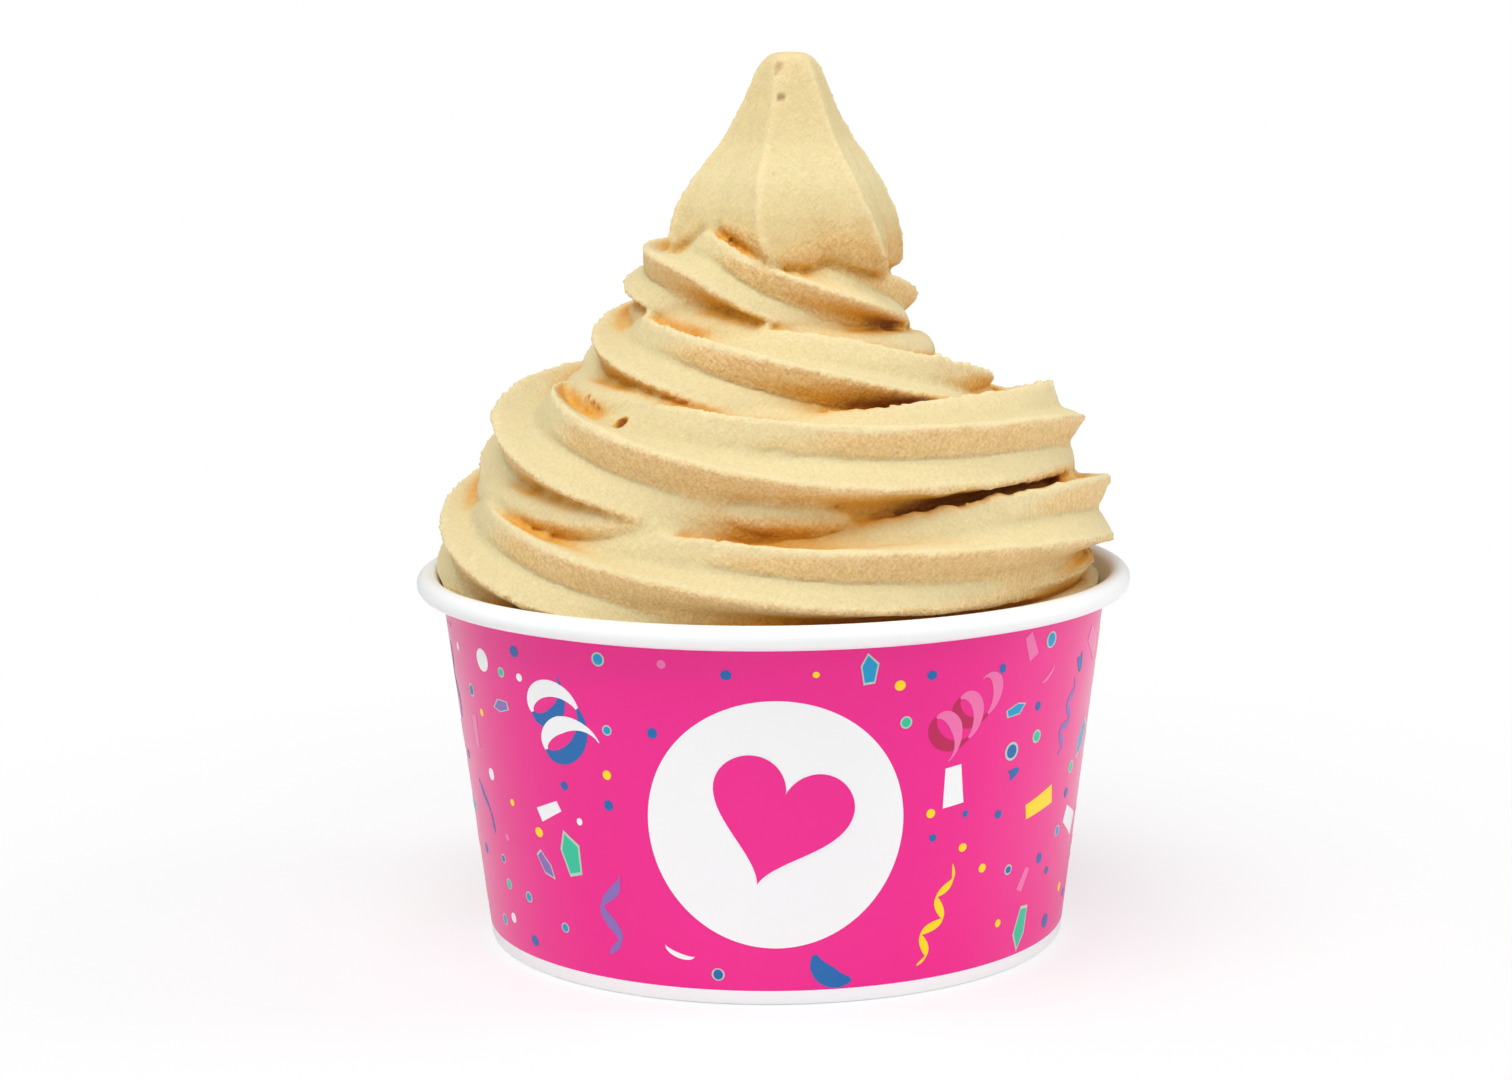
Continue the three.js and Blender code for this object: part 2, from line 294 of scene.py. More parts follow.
def apply_modifier(obj, kind, **values):
    only(obj)
    modifier = obj.modifiers.new(kind.title(), kind)
    for key, value in values.items():
        setattr(modifier, key, value)
    bpy.ops.object.modifier_apply(modifier=modifier.name)


def join(name, objs):
    only(*objs)
    if len(objs) > 1:
        bpy.ops.object.join()
    return settle(bpy.context.object, name)


def shade(obj, angle):
    only(obj)
    bpy.ops.object.shade_smooth_by_angle(angle=math.radians(angle))


def mend(obj, fill=False):
    """Merges double points, fills the holes where asked and turns every face outwards."""
    edit(obj)
    bpy.ops.mesh.remove_doubles(threshold=DOUBLE)
    if fill:
        bpy.ops.mesh.fill_holes(sides=0)
    bpy.ops.mesh.normals_make_consistent(inside=False)
    bpy.ops.object.mode_set(mode="OBJECT")


def turned(name, profile, sides, hollow):
    """One ring extruded and resized along a profile of (radius, height); a hollow shape ends where it began."""
    radius, height = profile[0]
    place = (0, 0, height * MM)
    circle = bpy.ops.mesh.primitive_circle_add
    obj = primitive(name, circle, vertices=sides, radius=radius * MM, location=place)
    edit(obj)
    for next_radius, next_height in profile[1:]:
        rise = (0, 0, (next_height - height) * MM)
        grow = next_radius / radius
        bpy.ops.mesh.extrude_region_move(TRANSFORM_OT_translate={"value": rise})
        bpy.ops.transform.resize(value=(grow, grow, 1), center_override=(0, 0, next_height * MM))
        radius, height = next_radius, next_height
    bpy.ops.mesh.select_all(action="SELECT")
    bpy.ops.mesh.region_to_loop()
    if hollow:
        bpy.ops.mesh.bridge_edge_loops()
    else:
        bpy.ops.mesh.fill_holes(sides=0)
    mend(obj)
    return obj


def skin(name, rings):
    """A closed skin over rows of points: a grid whose seam is merged and whose ends are filled."""
    rows, count = rings.shape[:2]
    obj = primitive(name, bpy.ops.mesh.primitive_grid_add, x_subdivisions=count, y_subdivisions=rows - 1, size=1)
    closed = np.concatenate([rings, rings[:, :1]], axis=1)
    set_points(obj, closed.reshape(-1, 3) * MM)
    mend(obj, fill=True)
    return obj


# ---- Shader helpers ----


class Nodes:
    """Short calls for building one node tree."""

    def __init__(self, tree):
        self.tree = tree
        tree.nodes.clear()

    def add(self, kind, **values):
        node = self.tree.nodes.new(kind)
        for key, value in values.items():
            setattr(node, key, value)
        return node

    def feed(self, socket, value):
        """Links an output to an input, or sets the input's value."""
        if isinstance(value, bpy.types.NodeSocket):
            self.tree.links.new(value, socket)
        elif socket.type == "RGBA":
            socket.default_value = (*value, 1.0)
        else:
            socket.default_value = value

    def put(self, node, **values):
        """Feeds inputs by their names, with an underscore for each space."""
        for name, value in values.items():
            self.feed(node.inputs[name.replace("_", " ")], value)
        return node

    def put_in_order(self, node, *values):
        for socket, value in zip(node.inputs, values):
            self.feed(socket, value)
        return node.outputs[0]

    def math(self, operation, *values, use_clamp=False):
        return self.put_in_order(self.add("ShaderNodeMath", operation=operation, use_clamp=use_clamp), *values)

    def mix(self, share, first, second, blend="MIX"):
        node = self.add("ShaderNodeMix", data_type="RGBA", blend_type=blend)
        for number, value in ((0, share), (6, first), (7, second)):
            self.feed(node.inputs[number], value)
        return node.outputs[2]

    def span(self, value, low, high, to_low=0.0, to_high=1.0, smooth=False):
        node = self.add("ShaderNodeMapRange", interpolation_type="SMOOTHSTEP" if smooth else "LINEAR")
        return self.put_in_order(node, value, low, high, to_low, to_high)

    def noise(self, place, scale, detail=3.0, roughness=0.5):
        node = self.add("ShaderNodeTexNoise")
        return self.put(node, Vector=place, Scale=scale, Detail=detail, Roughness=roughness).outputs["Fac"]

    def bump(self, height, strength, distance):
        node = self.add("ShaderNodeBump")
        return self.put(node, Height=height, Strength=strength, Distance=distance).outputs["Normal"]

    def attribute(self, name):
        return self.add("ShaderNodeAttribute", attribute_name=name).outputs["Fac"]

    def place(self):
        return self.add("ShaderNodeTexCoord").outputs["Object"]

    def when_seen(self, share, otherwise, seen):
        """The second shader, by this share, where the camera looks straight at it."""
        ray = self.add("ShaderNodeLightPath").outputs["Is Camera Ray"]
        pick = self.add("ShaderNodeMixShader")
        return self.put_in_order(pick, self.math("MULTIPLY", share, ray), otherwise.outputs[0], seen.outputs[0])


def coated_board():
    """The coated board under every print: soft mottle in the colour, an uneven gloss and faint fibres."""
    name = "Coated Board"
    if name in bpy.data.node_groups:
        return bpy.data.node_groups[name]
    group = bpy.data.node_groups.new(name, "ShaderNodeTree")
    for direction, sockets in (
        ("INPUT", {"Place": "Vector", "Colour": "Color", "Mottle": "Float", "Roughness": "Float"}),
        ("OUTPUT", {"Colour": "Color", "Roughness": "Float", "Height": "Float"}),
    ):
        for socket, kind in sockets.items():
            group.interface.new_socket(name=socket, in_out=direction, socket_type="NodeSocket" + kind)
    nodes = Nodes(group)
    given = nodes.add("NodeGroupInput").outputs
    fine = nodes.noise(given["Place"], 1400.0, 4.0, 0.6)
    fibre = nodes.noise(given["Place"], 420.0, 3.0, 0.55)
    cloud = nodes.math("SUBTRACT", nodes.noise(given["Place"], 60.0, 2.0), 0.5)
    speck = nodes.math("MULTIPLY", nodes.math("SUBTRACT", fine, 0.5), 0.6)
    mottled = nodes.add("ShaderNodeVectorMath", operation="SCALE")
    nodes.feed(mottled.inputs[0], given["Colour"])
    nodes.put(mottled, Scale=nodes.math("MULTIPLY_ADD", nodes.math("ADD", cloud, speck), given["Mottle"], 1.0))
    nodes.put(
        nodes.add("NodeGroupOutput"),
        Colour=mottled.outputs[0],
        Roughness=nodes.math("MULTIPLY_ADD", cloud, 0.25, given["Roughness"], use_clamp=True),
        Height=nodes.math("MULTIPLY_ADD", fine, 0.35, fibre),
    )
    return group


def new_material(name):
    material = bpy.data.materials.new(name)
    material.use_nodes = True
    nodes = Nodes(material.node_tree)
    shader = nodes.add("ShaderNodeBsdfPrincipled")
    output = nodes.put(nodes.add("ShaderNodeOutputMaterial"), Surface=shader.outputs[0])
    return material, nodes, shader, output


def board_material(name, colour, roughness, coat, mottle=0.025, bump=0.05):
    material, nodes, shader, _ = new_material(name)
    board = nodes.add("ShaderNodeGroup", node_tree=coated_board())
    nodes.put(board, Place=nodes.place(), Colour=colour, Mottle=mottle, Roughness=roughness)
    nodes.put(
        shader,
        Base_Color=board.outputs["Colour"],
        Roughness=board.outputs["Roughness"],
        Normal=nodes.bump(board.outputs["Height"], bump, BOARD_RELIEF),
        Specular_IOR_Level=0.25,
        Coat_Weight=coat,
        Coat_Roughness=0.16,
    )
    return material


GRAIN_LEAN = 42
GRAIN_STROKE = (0.45 * MM, 0.65 * MM, 1.5 * MM)
PIT_EDGE_SHADE = (0.30, 0.105, 0.03)
PIT_SHADE = (0.04, 0.014, 0.006)
RIDGE_HIGHLIGHT = (0.95, 0.83, 0.58)
GRAIN_COLOURS = (0.84, 0.76, 0.64), (1.10, 1.13, 1.17)
WHITE = (1.0, 1.0, 1.0)

# From where to where each measure of the swirl takes effect.
UNDER_SPAN = (0.24, 0.54)
SHELTER_SHADE_SPAN = (0.16, 0.62)
CREVICE_SHADE_SPAN = (0.60, 0.92)
PIT_EDGE_SPAN = (0.05, 0.5)
PIT_SPAN = (0.35, 0.75)
SEAM_SHADE_SPAN = (0.3, 0.9)
SEAM_SHADE_SHARE = 0.5
RIDGE_HIGHLIGHT_SHARE = 0.25
PEAK_SHADE = (0.86, 0.76, 0.60)


def yogurt_material(settings):
    """Cream on open faces with a fine frozen grain, and painted light: tan shade on faces that look down, caramel
    shade where it is sheltered, darker crevice shade deep between the coils, along the line where the peak meets
    them and in the pits, shade toward the peak's foot and tip, and a highlight along the ridges.
    """
    material, nodes, shader, _ = new_material("Frozen Yogurt")
    place = nodes.place()
    cloud = nodes.math("MULTIPLY_ADD", nodes.noise(place, 170.0), 0.16, -0.08)
    hidden = nodes.math("ADD", nodes.attribute("shelter"), cloud)
    under = nodes.span(nodes.attribute("under"), *UNDER_SPAN, smooth=True)
    patches = nodes.span(nodes.noise(place, 260.0), 0.3, 0.7, 0.75, 1.1)
    seam = nodes.span(nodes.attribute("seam"), *SEAM_SHADE_SPAN)
    pit = nodes.attribute("pit")
    # Painted shade: faces that look down take the tan in place of the cream.
    colour = nodes.mix(under, settings.cream, settings.tan)
    shaded = nodes.mix(1.0, colour, PEAK_SHADE, "MULTIPLY")
    for share, over in (
        (nodes.math("MULTIPLY", nodes.attribute("shade"), patches), shaded),
        # Painted shade: caramel where the surface is closed in, the crevice colour deep between the coils.
        (nodes.span(hidden, *SHELTER_SHADE_SPAN, smooth=True), settings.caramel_shade),
        (nodes.span(hidden, *CREVICE_SHADE_SPAN, smooth=True), settings.crevice_shade),
        # Painted shade along the line where the peak meets the coils.
        (nodes.math("MULTIPLY", seam, SEAM_SHADE_SHARE), settings.crevice_shade),
        # Painted shade in the pits: brown at their edges, nearly black inside.
        (nodes.span(pit, *PIT_EDGE_SPAN), PIT_EDGE_SHADE),
        (nodes.span(pit, *PIT_SPAN), PIT_SHADE),
        # Painted highlight: a lighter colour along the ridges.
        (nodes.math("MULTIPLY", nodes.attribute("ridge"), RIDGE_HIGHLIGHT_SHARE), RIDGE_HIGHLIGHT),
    ):
        colour = nodes.mix(share, colour, over)
    woven = []
    for lean in (GRAIN_LEAN, -GRAIN_LEAN):
        slant = nodes.add("ShaderNodeMapping", vector_type="TEXTURE")
        nodes.put(slant, Vector=place, Rotation=(0.0, math.radians(lean), 0.0), Scale=GRAIN_STROKE)
        woven.append(nodes.noise(slant.outputs["Vector"], 1.0, 3.0, 0.55))
    strokes = nodes.math("MULTIPLY_ADD", woven[0], 0.6, nodes.math("MULTIPLY", woven[1], 0.4))
    rough = nodes.math("MULTIPLY_ADD", under, 0.65, 0.40)
    fleck = nodes.mix(0.55, nodes.noise(place, 2300.0, 2.0, 0.6), strokes)
    dusted = nodes.mix(rough, WHITE, nodes.mix(nodes.span(fleck, 0.37, 0.63), *GRAIN_COLOURS))
    grain = nodes.noise(place, 1250.0, 5.0, 0.62)
    height = nodes.math("MULTIPLY_ADD", nodes.noise(place, 420.0), 0.8, grain)
    height = nodes.math("ADD", height, nodes.math("MULTIPLY", strokes, 1.3))
    shader.subsurface_method = "RANDOM_WALK"
    nodes.put(
        shader,
        Base_Color=nodes.mix(1.0, colour, dusted, "MULTIPLY"),
        Roughness=nodes.span(grain, 0.3, 0.7, 0.5, 0.72),
        Normal=nodes.bump(nodes.math("MULTIPLY", height, rough), 0.8, 0.6 * MM),
        Specular_IOR_Level=0.3,
        Subsurface_Weight=0.35,
        Subsurface_Radius=(1.0, 0.55, 0.22),
        Subsurface_Scale=2.2 * MM,
    )
    return material


# ---- Cup ----


def wall_radius(height):
    return BASE_RADIUS + WALL_TAPER * height


def wall_point(height, inset=0.0):
    """A point of an outline, some way in from the outside of the wall: its radius and height."""
    return wall_radius(height) - inset, height


def on_outside(face):
    x, y, z = face.center
    return math.hypot(x, y) / MM > wall_radius(z / MM) - OUTSIDE_SLACK


MIDDLE_RADIUS = wall_radius(CUP_HEIGHT / 2)


def bead_arc(radius, start, end, steps):
    """Part of a round about the middle of the rolled rim; start and end are in half turns."""
    middle = RIM_RADIUS - RIM_BEAD / 2
    turns = np.linspace(start, end, steps + 1) * math.pi
    return [(middle + radius * math.cos(a), BEAD_MIDDLE + radius * math.sin(a)) for a in turns]


def cup_profile(paper):
    """Up the outside, over the rolled rim and down the inside of the wall."""
    heights = (0.5, 1.2, paper.print_low / MM, 3.0, 12.0, 24.0, 36.0, 48.0, paper.print_high / MM, BEAD_UNDER + 0.3)
    outside = [wall_point(0.0, 0.3), wall_point(0.15, 0.08), *map(wall_point, heights)]
    rolled = bead_arc(RIM_BEAD / 2, -0.62, 0.84, 18)
    inside = [wall_point(z, WALL_THICKNESS) for z in (BEAD_UNDER - 0.6, 40.0, 24.0, FOOT_TOP + 0.3)]
    folded = [
        wall_point(FOOT_TOP, FOOT_THICKNESS - 0.15),
        (wall_radius(FOOT_TOP) - FOOT_THICKNESS, FOOT_TOP - 0.5),
        wall_point(4.0, FOOT_THICKNESS),
        wall_point(0.3, FOOT_THICKNESS),
        wall_point(0.0, FOOT_THICKNESS - 0.15),
    ]
    return outside + rolled + inside + folded


def raise_seam(wall, width):
    """Extrudes the glued overlap at the back outwards by the thickness of the board."""
    half = width / MM / 2 / MIDDLE_RADIUS
    edit(wall, "DESELECT")
    bpy.ops.mesh.select_mode(type="FACE")
    bpy.ops.object.mode_set(mode="OBJECT")
    for face in wall.data.polygons:
        x, y, z = face.center
        behind = abs(math.atan2(y, x) + FRONT) < half
        face.select = on_outside(face) and behind and 0.5 * MM < z < BEAD_UNDER * MM
    edit(wall, None)
    bpy.ops.mesh.extrude_region_move(TRANSFORM_OT_translate={"value": (0, 0, 0)})
    grow = 1 + SEAM_THICKNESS / MIDDLE_RADIUS
    bpy.ops.transform.resize(value=(grow, grow, 1), center_override=(0, 0, 0))
    bpy.ops.mesh.select_mode(type="VERT")
    mend(wall)


class YOGURTCUP_OT_wall(Operator):
    """Turn the paper wall with its rolled rim, folded foot and glued seam"""

    bl_idname = "yogurtcup.wall"
    bl_label = "Paper Wall"

    def execute(self, context):
        paper = context.scene.yogurtcup_paper
        wall = turned("paper_wall", cup_profile(paper), WALL_SIDES, hollow=True)
        raise_seam(wall, paper.seam_width)
        wall.data.materials.append(board_material("White Board", paper.white, 0.42, 0.25))
        wall.data.materials.append(board_material("Pink Print", paper.pink, 0.34, 0.45, mottle=0.02))
        for face in wall.data.polygons:
            face.material_index = int(on_outside(face) and paper.print_low < face.center.z < paper.print_high)
        shade(wall, 30)
        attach(wall, "root")
        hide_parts("cup_wall")
        return {"FINISHED"}


class YOGURTCUP_OT_bottom(Operator):
    """Give the bottom of the cup its plain coated board"""

    bl_idname = "yogurtcup.bottom"
    bl_label = "Cup Bottom"

    def execute(self, context):
        paper = context.scene.yogurtcup_paper
        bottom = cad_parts["cup_bottom"]
        material = board_material("Bottom Board", paper.white, 0.5, 0.1, mottle=0.07, bump=0.08)
        for slot in bottom.material_slots:
            slot.material = material
        return {"FINISHED"}


# ---- Print ----
# The print is laid out flat on the blank of the cup, a fan whose apex is the origin,
# cut along the fan's rays and then rolled up round the wall. On the blank, a height
# of its own above the sheet becomes the same height above the wall.

FAN = math.atan(WALL_TAPER)
RAY_STEP = 1.5
PRINT_DEPTH = 0.06
LAYERS = {"rim": 0.025, "fill": 0.045}
SPOT_GAP = 0.9
BIT_SMALLEST = 1.0
BIT_SPREAD = 3.1
BIT_BIAS = 1.8
SPOT_TRIES = 40000


def on_blank(around, height):
    """Where a point of the wall, at an angle from the front and a height, lies on the flat blank."""
    reach = wall_radius(height) / math.sin(FAN)
    turn = around * math.sin(FAN)
    return Vector((reach * math.sin(turn), reach * math.cos(turn), 0.0)), turn


def roll_up(points):
    x, y, above = points.T
    around = FRONT + np.arctan2(x, y) / math.sin(FAN)
    radius = np.hypot(x, y) * math.sin(FAN)
    height = (radius - BASE_RADIUS) / WALL_TAPER - above * math.sin(FAN)
    radius = radius + above * math.cos(FAN)
    return np.stack([radius * np.cos(around), radius * np.sin(around), height], axis=1)


def flat_disc(name, sides):
    return primitive(name, bpy.ops.mesh.primitive_circle_add, vertices=sides, radius=0.5, fill_type="NGON")


def reshaped(bit, change):
    """Moves the points of a flat bit by a function of their x and y."""
    x, y, _ = points_of(bit).T
    x, y = change(x, y)
    set_points(bit, np.stack([x, y, 0 * x], axis=1))
    return bit


def rimmed(name, sides, rim):
    return reshaped(flat_disc(name, sides), lambda x, y: rim(np.arctan2(y, x)))


def chip(name, top, lean):
    plane = primitive(name, bpy.ops.mesh.primitive_plane_add, size=1)
    return reshaped(plane, lambda x, y: (np.where(y > 0, x * top + lean, x), y))


def crescent(name, hollow):
    return reshaped(flat_disc(name, 28), lambda x, y: (np.where(x > 0.01, x * -hollow, x), y))


def heart_rim(t):
    x = 16 * np.sin(t) ** 3
    y = 13 * np.cos(t) - 5 * np.cos(2 * t) - 2 * np.cos(3 * t) - np.cos(4 * t)
    return x / 32, (y + 2.5) / 32


def flake_rim(t):
    return 0.5 * np.cos(t) * (1 + 0.2 * np.sin(2 * t)), 0.5 * np.sin(t)


def ribbon(name, steps, shape):
    """A flat strip along a line; shape gives the line's x and y and its width at each share of the way."""
    strip = primitive(name, bpy.ops.mesh.primitive_grid_add, x_subdivisions=steps, y_subdivisions=1, size=1)
    x, y, width = shape(np.linspace(0, 1, steps + 1))
    line = np.stack([x, y], axis=1)
    along = np.gradient(line, axis=0)
    along /= np.linalg.norm(along, axis=1)[:, None] + TINY
    aside = np.stack([-along[:, 1], along[:, 0]], axis=1) * width[:, None] / 2
    flat = np.concatenate([line - aside, line + aside])
    set_points(strip, np.column_stack([flat, np.zeros(len(flat))]))
    return strip


def swelling(share, power):
    return np.sin(math.pi * np.clip(share, 0.02, 0.98)) ** power


def squiggle(waves, swing, breadth):
    def shape(share):
        wave = 2 * math.pi * waves * share
        fade = 0.45 + 0.55 * np.sin(math.pi * clamp(share * 1.2))
        ends = clamp(6 * share + 0.2) * clamp(6 * (1 - share) + 0.1)
        return swing * fade * np.sin(wave), share - 0.5, breadth * ends * (0.35 + 0.65 * np.abs(np.cos(wave)))

    return shape


def bow(start, end, radius, breadth):
    """A short bow, from one share of a half turn to another."""

    def shape(share):
        angle = math.pi * (start + (end - start) * share)
        width = breadth * (0.12 + 0.88 * swelling(share, 0.8))
        return radius * np.cos(angle), 1.25 * radius * np.sin(angle), width

    return shape


COIL_RISE = 0.42
COIL_BREADTH = 0.19


def half_coil(half, halves):
    """One half turn of a streamer curled like a spring, seen from its side."""

    def shape(share):
        turn = (half + share) / 2
        angle = 2 * math.pi * turn
        up = 0.26 * np.sin(angle) + COIL_RISE * (turn - halves / 4)
        from_end = half + share if half < halves / 2 else halves - half - share
        width = COIL_BREADTH * (0.1 + 0.9 * swelling(share, 0.7)) * clamp(0.25 + 1.5 * from_end)
        return (0.40 - 0.05 * turn) * np.cos(angle), up, width

    return shape


class Blank:
    """The flat sheet of the cup that the print is laid out on."""

    def __init__(self, colours):
        self.colours = colours
        self.parts = []
        self.models = {}

    def model(self, name, make, *args):
        """Each kind of bit is modelled once."""
        if name not in self.models:
            self.models[name] = make(name, *args)
        return self.models[name]

    def lay(self, model, spot, turn, size, colour, layer="fill"):
        """Lays a copy of a bit at its angle from the front and height; size is its width and length."""
        middle, lean = on_blank(*spot)
        copy = bpy.data.objects.new(model.name + "_copy", model.data.copy())
        bpy.context.collection.objects.link(copy)
        place = Matrix.Translation(middle + Vector((0, 0, LAYERS[layer])))
        copy.data.transform(place @ Matrix.Rotation(turn - lean, 4, "Z") @ Matrix.Diagonal((*size, 1.0, 1.0)))
        copy.data.materials.clear()
        copy.data.materials.append(self.colours[colour])
        self.parts.append(copy)

    def roll(self, name):
        """Joins what was laid, cuts it along the rays of the fan, thickens it and rolls it up."""
        for model in self.models.values():
            bpy.data.objects.remove(model)
        sheet = join(name, self.parts)
        step = RAY_STEP / MIDDLE_RADIUS * math.sin(FAN)
        rays = int(math.pi * math.sin(FAN) / step)
        edit(sheet)
        for turn in np.arange(-rays, rays + 1) * step:
            bpy.ops.mesh.select_all(action="SELECT")
            bpy.ops.mesh.bisect(plane_co=(0, 0, 0), plane_no=(math.cos(turn), -math.sin(turn), 0))
        bpy.ops.object.mode_set(mode="OBJECT")
        apply_modifier(sheet, "SOLIDIFY", thickness=PRINT_DEPTH, offset=-1.0)
        set_points(sheet, roll_up(points_of(sheet)) * MM)
        mend(sheet)
        shade(sheet, 25)
        return sheet


def scatter(rng, count, low, high, limit, taken):
    """Random spots (angle from the front and height, radius, draw) that keep off what is taken."""
    spots = []
    tries = 0
    while len(spots) < count and tries < SPOT_TRIES:
        tries += 1
        radius = BIT_SMALLEST + BIT_SPREAD * rng.random() ** BIT_BIAS
        around = rng.uniform(-limit, limit)
        height = rng.uniform(low + radius, high - radius)
        reach = wall_radius(height)
        if min(math.hypot((around - a) * reach, height - h) - radius - r for a, h, r in taken) > SPOT_GAP:
            taken.append((around, height, radius))
            spots.append(((around, height), radius, rng.random()))
    return spots


BANDS = {
    "flag": (16, bow(0.25, 0.75, 0.6, 0.45)),
    "worm": (48, squiggle(2.6, 0.15, 0.10)),
    "hook": (48, squiggle(1.3, 0.16, 0.13)),
    "dash": (48, squiggle(0.7, 0.10, 0.11)),
}
WHITE_COIL = ("coil", "white", "blue", 4)
ROSE_COIL = ("coil", "blush", "crimson", 5)

# Kind, angle from the front in degrees, height, turn, width and length.
STREAMERS = (
    (WHITE_COIL, -39, 41.5, 0.5, 13, 14), (ROSE_COIL, 33, 42, -0.9, 9, 11),
    (("worm", "yellow"), 30, 12, -0.35, 9, 16), (("flag", "blue"), 13, 8.6, 2.5, 8, 7),
    (("hook", "violet"), -31, 12.5, -0.15, 12, 13), (("dash", "blue"), -66, 24, 0.5, 8, 9),
    (("hook", "blue"), -78, 42, 0.1, 9, 12), (("dash", "crimson"), -86, 30, -0.6, 9, 11),
    (("worm", "violet"), 62, 38, -0.3, 9, 12), (WHITE_COIL, 96, 19, -0.9, 12, 13),
    (("worm", "yellow"), 84, 43, 0.4, 10, 13), (ROSE_COIL, -122, 16, 0.8, 10, 12),
    (("hook", "violet"), 128, 40, 0.2, 12, 13), (WHITE_COIL, -136, 40, 1.1, 12, 13),
    (("worm", "yellow"), -108, 38, -0.4, 10, 14), (ROSE_COIL, 146, 13, -1.0, 10, 12),
    (("hook", "blue"), -160, 14, 0.5, 10, 12), (("dash", "crimson"), 112, 30, 0.3, 9, 11),
    (("dash", "blue"), 160, 34, -0.5, 8, 10),
)


def lay_streamer(blank, kind, spot, turn, size):
    if kind[0] == "coil":
        _, face, back, halves = kind
        for half in range(halves):
            part = blank.model(f"coil_{half}_{halves}", ribbon, 20, half_coil(half, halves))
            blank.lay(part, spot, turn, size, *((back, "rim") if half % 2 else (face, "fill")))
    else:
        name, colour = kind
        blank.lay(blank.model(name, ribbon, *BANDS[name]), spot, turn, size, colour)


DOT_LIMIT = 1.75
DOT_INKS = ("yellow", "blue", "cyan", "yellow", "green", "blush", "blue", "white")
BIT_MODELS = {
    "chip": (chip, 0.75, 0.08),
    "flake": (rimmed, 5, flake_rim),
    "crescent": (crescent, 0.35),
    "bent": (ribbon, 10, bow(0.2, 0.8, 0.55, 0.5)),
}
BITS = (
    ("chip", "yellow"), ("flake", "cyan"), ("chip", "white"), ("chip", "blush"), ("flake", "green"),
    ("crescent", "white"), ("dot", "white"), ("flake", "violet"), ("chip", "blush"), ("bent", "blue"),
    ("chip", "yellow"), ("crescent", "blush"),
)


def lay_bit(blank, rng, spot, radius, draw):
    """One small bit of confetti: a dot, a chip, a flake, a bow or a crescent."""
    turn = rng.uniform(0, 2 * math.pi)
    stretch = rng.uniform(0.55, 0.95)
    dot = blank.model("dot", flat_disc, 22)
    if radius < DOT_LIMIT:
        colour = DOT_INKS[int(draw * len(DOT_INKS))]
        size = radius * rng.uniform(0.95, 1.35)
        if colour in ("cyan", "green") or (colour == "blue" and draw > 0.8):
            blank.lay(dot, spot, 0, (size * 1.35, size * 1.35), "mint", "rim")
        blank.lay(dot, spot, 0, (size, size * rng.uniform(0.9, 1.15)), colour)
        return
    kind, colour = BITS[int(draw * len(BITS))]
    if kind == "dot":
        blank.lay(dot, spot, 0, (radius * 1.3, radius * 1.3), colour)
        return
    part = blank.model(kind, *BIT_MODELS[kind])
    width, length = 2 * radius * stretch * 0.7, 2.1 * radius
    if kind == "flake":
        blank.lay(part, spot, turn, (width * 1.22, length * 1.18), "mint", "rim")
    blank.lay(part, spot, turn, (width, length), colour)


class YOGURTCUP_OT_confetti(Operator):
    """Print the confetti, the round white field and its heart round the wall"""

    bl_idname = "yogurtcup.confetti"
    bl_label = "Print"

    def execute(self, context):
        paper = context.scene.yogurtcup_paper
        ink = context.scene.yogurtcup_print
        colours = {}
        for name in INKS:
            colours[name] = board_material("Print " + name.title(), getattr(ink, name), 0.38, 0.25)
        colours["white"] = board_material("Print White", paper.white, 0.34, 0.45)
        colours["pink"] = bpy.data.materials["Pink Print"]
        blank = Blank(colours)
        rng = random.Random(ink.seed)
        middle = (0.0, ink.disc_height / MM)
        radius, width = ink.disc_radius / MM, ink.heart_width / MM
        taken = [(*middle, radius + 0.6)]
        for kind, degrees, height, turn, *size in STREAMERS:
            spot = math.radians(degrees), height
            lay_streamer(blank, kind, spot, turn, size)
            taken.append((*spot, 0.5 * max(size)))
        low, high = paper.print_low / MM + 0.6, paper.print_high / MM - 0.6
        limit = math.pi - paper.seam_width / MM / MIDDLE_RADIUS
        for bit in scatter(rng, ink.count, low, high, limit, taken):
            lay_bit(blank, rng, *bit)
        blank.lay(blank.model("field", flat_disc, 128), middle, 0, (2 * radius, 2 * radius), "white", "rim")
        blank.lay(blank.model("heart", rimmed, 96, heart_rim), middle, -0.3, (width, width), "pink")
        confetti = blank.roll("printed_confetti")
        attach(confetti, "root")
        return {"FINISHED"}


# ---- Swirl ----


def column(name, turn):
    """Smooth value of one column of TURNS at every turn."""
    turns, values = np.transpose(TURNS)[[0, TURN_COLUMNS.index(name)]]
    last = len(turns) - 1
    rows = np.arange(last + 1)
    before, after = np.maximum(rows - 1, 0), np.minimum(rows + 1, last)
    slope = (values[after] - values[before]) / (turns[after] - turns[before])
    i = np.clip(np.searchsorted(turns, turn, side="right") - 1, 0, last - 1)
    span, rise = turns[i + 1] - turns[i], values[i + 1] - values[i]
    t = clamp((turn - turns[i]) / span)
    start, end = span * slope[i], span * slope[i + 1]
    return values[i] + t * (start + t * (3 * rise - 2 * start - end + t * (start + end - 2 * rise)))


def off_crest(angle):
    """How far an angle lies from the nearest crest, from 0 on it to 1 in the middle of a flute."""
    place = angle / (2 * math.pi / FLUTES)
    return np.abs(place - np.round(place)) * 2


def flute(angle, depth):
    """Share of the crest radius that a fluted section has at an angle from a crest."""
    away = off_crest(angle)
    return 1 - depth * away * (1 + FLUTE_BOW * (1 - away))


def tucked(turn):
    """Share of its size that the rope keeps where its end is tucked in under the peak."""
    tuck = np.maximum(0, (turn - TUCK_FROM) / (LAST_TURN - TUCK_FROM))
    return 1 - TUCK_SHARE * tuck * (2 - tuck)


